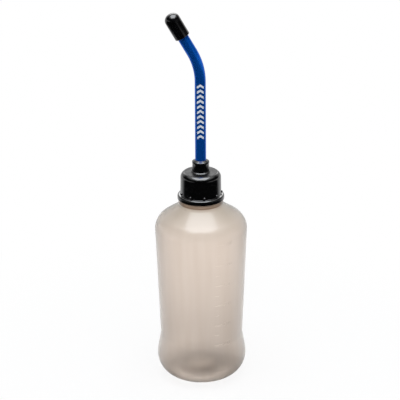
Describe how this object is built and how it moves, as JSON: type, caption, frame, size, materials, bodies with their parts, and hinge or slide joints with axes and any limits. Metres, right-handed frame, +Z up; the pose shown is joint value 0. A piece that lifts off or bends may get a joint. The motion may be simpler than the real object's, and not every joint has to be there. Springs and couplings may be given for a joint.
{
  "type": "fuel filler bottle",
  "caption": "Translucent waisted squeeze bottle with a flanged screw cap, a bent metal filler spout held in a rubber bush, and a rubber cap on the spout's tip.",
  "frame": {"origin": "centre of the ring the bottle stands on, in the plane of the surface below it", "axes": "+Z up along the bottle's axis; the spout bends towards -X; the moulded scale is on the -Y side"},
  "size_m": [0.085, 0.085, 0.353],
  "materials": {
    "bottle_plastic": "translucent smoky beige, satin",
    "cap_plastic": "moulded black",
    "liner_foam": "pressed foam",
    "bush_rubber": "moulded black",
    "tube_metal": "anodised blue",
    "tip_rubber": "moulded black"
  },
  "bodies": {
    "bottle": {"bottle": "bottle_plastic"},
    "liner": {"cap_liner": "liner_foam"},
    "cap": {"screw_cap": "cap_plastic", "spout_bush": "bush_rubber"},
    "spout": {"filler_tube": "tube_metal"},
    "tip": {"tip_cap": "tip_rubber"}
  },
  "joints": [
    {"name": "cap_lift", "type": "slide", "parent": "bottle", "child": "liner", "axis": [0, 0, 1], "range_m": [0, 0.008]},
    {"name": "cap_turn", "type": "hinge", "parent": "liner", "child": "cap", "pos_m": [0, 0, 0.19], "axis": [0, 0, 1], "range_deg": [0, 720]},
    {"name": "spout_swivel", "type": "hinge", "parent": "cap", "child": "spout", "pos_m": [0, 0, 0.205], "axis": [0, 0, 1], "continuous": true},
    {"name": "tip_pull", "type": "slide", "parent": "spout", "child": "tip", "axis": [-0.497, 0, 0.8678], "range_m": [0, 0.024]}
  ],
  "couplings": [
    {"joint": "cap_lift", "follows": "cap_turn", "m_per_rad": 0.0006366}
  ]
}
